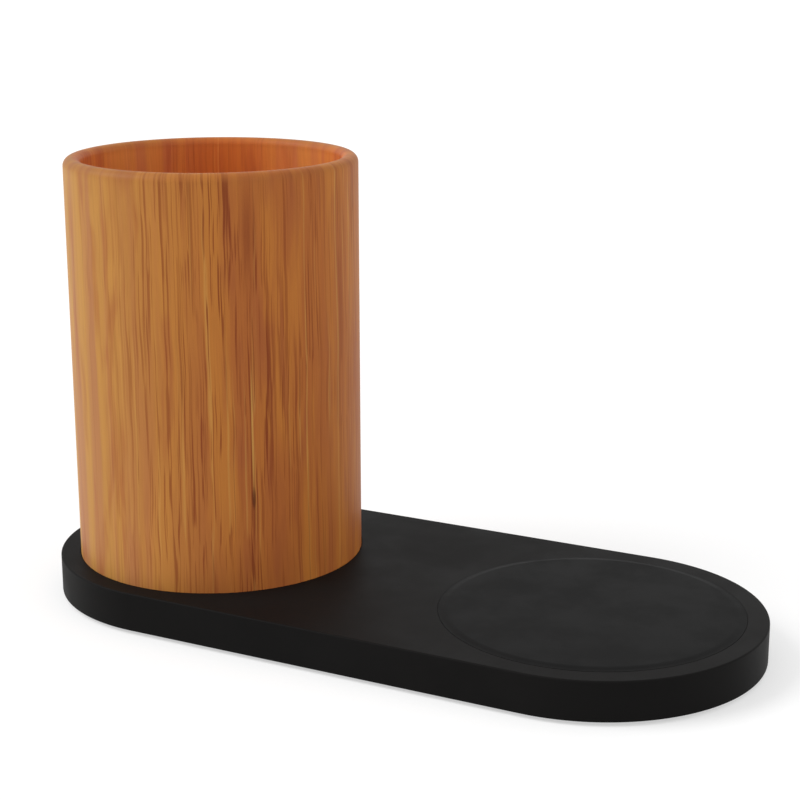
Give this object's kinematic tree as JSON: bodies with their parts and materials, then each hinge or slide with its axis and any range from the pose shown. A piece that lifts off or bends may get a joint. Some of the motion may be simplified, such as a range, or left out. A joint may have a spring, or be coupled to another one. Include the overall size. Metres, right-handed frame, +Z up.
{
  "type": "wireless charger pen holder",
  "caption": "Flat desk base with round ends: an upright round wooden pen cup on one end and a round wireless charging pad let into the other, with a socket in the rear side.",
  "frame": {"origin": "On the desk under the middle of the base: centre of the bounding box in X and Y, soles of the feet in Z.", "axes": "+X from the cup towards the charging pad along the base, +Y towards the rear side with the socket, +Z up."},
  "size_m": [0.2, 0.089, 0.1205],
  "materials": {
    "bamboo": "satin lacquer over vertical grain",
    "black_housing": "fine matte moulded texture",
    "black_cover": "coarser matte moulded texture",
    "pad_rubber": "soft matte",
    "foot_rubber": "matte",
    "steel": "plated",
    "copper_wire": "enamelled copper",
    "ferrite": "sintered, matte",
    "carrier_plastic": "moulded",
    "board_green": "solder mask",
    "chip_black": "moulded epoxy",
    "capacitor_ceramic": "sintered, matte"
  },
  "bodies": {
    "root": {"housing": "black_housing", "bottom_cover": "black_cover", "charging_pad": "pad_rubber", "cup_wall": "bamboo", "cup_floor": "bamboo", "foot_1": "foot_rubber", "foot_2": "foot_rubber", "foot_3": "foot_rubber", "foot_4": "foot_rubber", "cup_screw_1": "steel", "cup_screw_2": "steel", "cup_screw_3": "steel", "case_screw_1": "steel", "case_screw_2": "steel", "case_screw_3": "steel", "case_screw_4": "steel", "carrier_screw_1": "steel", "carrier_screw_2": "steel", "carrier_screw_3": "steel", "board_screw_1": "steel", "board_screw_2": "steel", "board_screw_3": "steel", "board_screw_4": "steel", "charging_coil": "copper_wire", "ferrite_plate": "ferrite", "coil_carrier": "carrier_plastic", "circuit_board": "board_green", "control_chip": "chip_black", "bridge_chip_1": "chip_black", "bridge_chip_2": "chip_black", "power_inductor": "ferrite", "resonant_capacitor_1": "capacitor_ceramic", "resonant_capacitor_2": "capacitor_ceramic", "resonant_capacitor_3": "capacitor_ceramic", "resonant_capacitor_4": "capacitor_ceramic", "input_capacitor_1": "capacitor_ceramic", "input_capacitor_2": "capacitor_ceramic", "usb_c_shell": "steel", "usb_c_insulator": "chip_black"}
  },
  "joints": []
}
